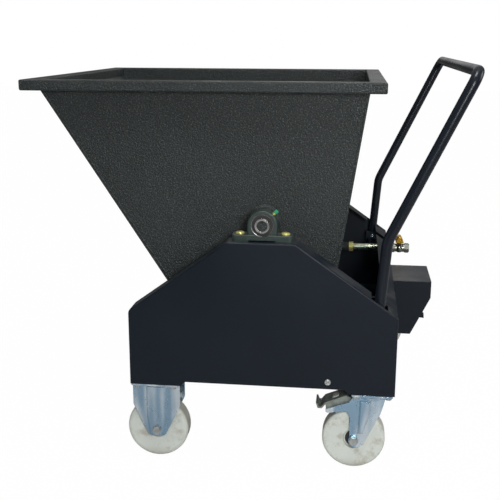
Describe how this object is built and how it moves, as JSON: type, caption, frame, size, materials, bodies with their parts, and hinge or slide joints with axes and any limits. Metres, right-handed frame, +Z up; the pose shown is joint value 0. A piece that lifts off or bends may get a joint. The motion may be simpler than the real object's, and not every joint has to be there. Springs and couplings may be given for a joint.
{
  "type": "tipping hopper cart",
  "caption": "Wheeled tipping hopper cart: a wedge-shaped steel hopper on trunnion bearings between folded side panels, with a bent tube push handle, a drain valve and a release latch.",
  "frame": {"origin": "on the floor under the middle of the cart's overall length and width", "axes": "+X towards the push handle, +Y across to the side of the drain valve, +Z up"},
  "size_m": [1.0427, 0.928, 0.9527],
  "materials": {
    "frame_paint": "smooth satin powder coat, dark blue-grey",
    "hopper_paint": "coarse textured powder coat, black-grey",
    "zinc": "bright blue zinc plating",
    "yellow_zinc": "yellow zinc plating",
    "green_iron": "dark green enamel on cast iron",
    "bearing_steel": "ground bearing steel",
    "plain_steel": "turned or stainless steel",
    "nylon": "off-white solid nylon",
    "nickel_brass": "nickel-plated brass",
    "gold_handle": "yellow die casting",
    "rubber": "matt black",
    "green_plastic": "soft green cap",
    "pedal_paint": "dark olive-grey paint on pressed steel"
  },
  "bodies": {
    "frame": {"side_panel_right": "frame_paint", "side_panel_left": "frame_paint", "rear_panel": "frame_paint", "front_base_plate": "frame_paint", "rear_base_plate": "frame_paint", "cross_brace": "frame_paint", "brace_bolts": "zinc", "push_handle": "frame_paint", "handle_clamps": "frame_paint", "handle_screws": "zinc", "pillow_block_right": "green_iron", "pillow_block_left": "green_iron", "bearing_outer_rings": "bearing_steel", "bearing_balls": "bearing_steel", "bearing_seals": "rubber", "grease_nipples": "yellow_zinc", "grease_caps": "green_plastic", "bearing_bolts": "yellow_zinc", "rest_brackets": "frame_paint", "rubber_buffers": "rubber", "latch_housing": "frame_paint", "latch_brackets": "frame_paint", "latch_pin": "plain_steel", "castor_plates": "zinc", "castor_bolts": "zinc", "front_axles": "zinc", "front_fork_left": "zinc", "front_fork_right": "zinc", "swivel_heads": "zinc"},
    "hopper": {"hopper_wrap": "hopper_paint", "hopper_side_right": "hopper_paint", "hopper_side_left": "hopper_paint", "hopper_rim": "hopper_paint", "trunnion_right": "hopper_paint", "trunnion_left": "hopper_paint", "bearing_inner_rings": "bearing_steel", "rest_lugs": "hopper_paint", "latch_striker": "hopper_paint", "drain_stub": "hopper_paint", "drain_coupling": "yellow_zinc", "drain_pipe": "yellow_zinc", "drain_valve_body": "nickel_brass", "drain_strainer": "plain_steel"},
    "drain_valve": {"valve_ball": "bearing_steel", "valve_handle": "gold_handle"},
    "latch": {"latch_lever": "frame_paint"},
    "front_wheel_left": {"front_wheel_left": "nylon", "front_bearings_left": "plain_steel"},
    "rear_castor_left": {"rear_fork_left": "zinc", "rear_axle_left": "zinc"},
    "rear_wheel_left": {"rear_wheel_left": "nylon", "rear_bearings_left": "plain_steel"},
    "brake_left": {"brake_pedal_left": "pedal_paint"},
    "front_wheel_right": {"front_wheel_right": "nylon", "front_bearings_right": "plain_steel"},
    "rear_castor_right": {"rear_fork_right": "zinc", "rear_axle_right": "zinc"},
    "rear_wheel_right": {"rear_wheel_right": "nylon", "rear_bearings_right": "plain_steel"},
    "brake_right": {"brake_pedal_right": "pedal_paint"}
  },
  "joints": [
    {"name": "hopper_tilt", "type": "hinge", "parent": "frame", "child": "hopper", "pos_m": [0.04765, 0, 0.593], "axis": [0, -1, 0], "range_deg": [0, 70]},
    {"name": "latch_hinge", "type": "hinge", "parent": "frame", "child": "latch", "pos_m": [0.39265, 0, 0.295], "axis": [0, 1, 0], "range_deg": [0, 7.5]},
    {"name": "drain_valve_turn", "type": "hinge", "parent": "hopper", "child": "drain_valve", "pos_m": [0.39965, 0.31, 0.37], "axis": [0, 0, 1], "range_deg": [0, 90]},
    {"name": "front_wheel_left_spin", "type": "hinge", "parent": "frame", "child": "front_wheel_left", "pos_m": [-0.20835, -0.405, 0.075], "axis": [0, 1, 0], "continuous": true},
    {"name": "rear_castor_left_swivel", "type": "hinge", "parent": "frame", "child": "rear_castor_left", "pos_m": [0.30965, -0.405, 0.18], "axis": [0, 0, 1], "continuous": true},
    {"name": "rear_wheel_left_spin", "type": "hinge", "parent": "rear_castor_left", "child": "rear_wheel_left", "pos_m": [0.26965, -0.405, 0.075], "axis": [0, 1, 0], "continuous": true},
    {"name": "brake_left_press", "type": "hinge", "parent": "rear_castor_left", "child": "brake_left", "pos_m": [0.27765, -0.405, 0.163], "axis": [0, -1, 0], "range_deg": [0, 12]},
    {"name": "front_wheel_right_spin", "type": "hinge", "parent": "frame", "child": "front_wheel_right", "pos_m": [-0.20835, 0.405, 0.075], "axis": [0, 1, 0], "continuous": true},
    {"name": "rear_castor_right_swivel", "type": "hinge", "parent": "frame", "child": "rear_castor_right", "pos_m": [0.30965, 0.405, 0.18], "axis": [0, 0, 1], "continuous": true},
    {"name": "rear_wheel_right_spin", "type": "hinge", "parent": "rear_castor_right", "child": "rear_wheel_right", "pos_m": [0.34965, 0.405, 0.075], "axis": [0, 1, 0], "continuous": true},
    {"name": "brake_right_press", "type": "hinge", "parent": "rear_castor_right", "child": "brake_right", "pos_m": [0.34165, 0.405, 0.163], "axis": [0, 1, 0], "range_deg": [0, 12]}
  ]
}
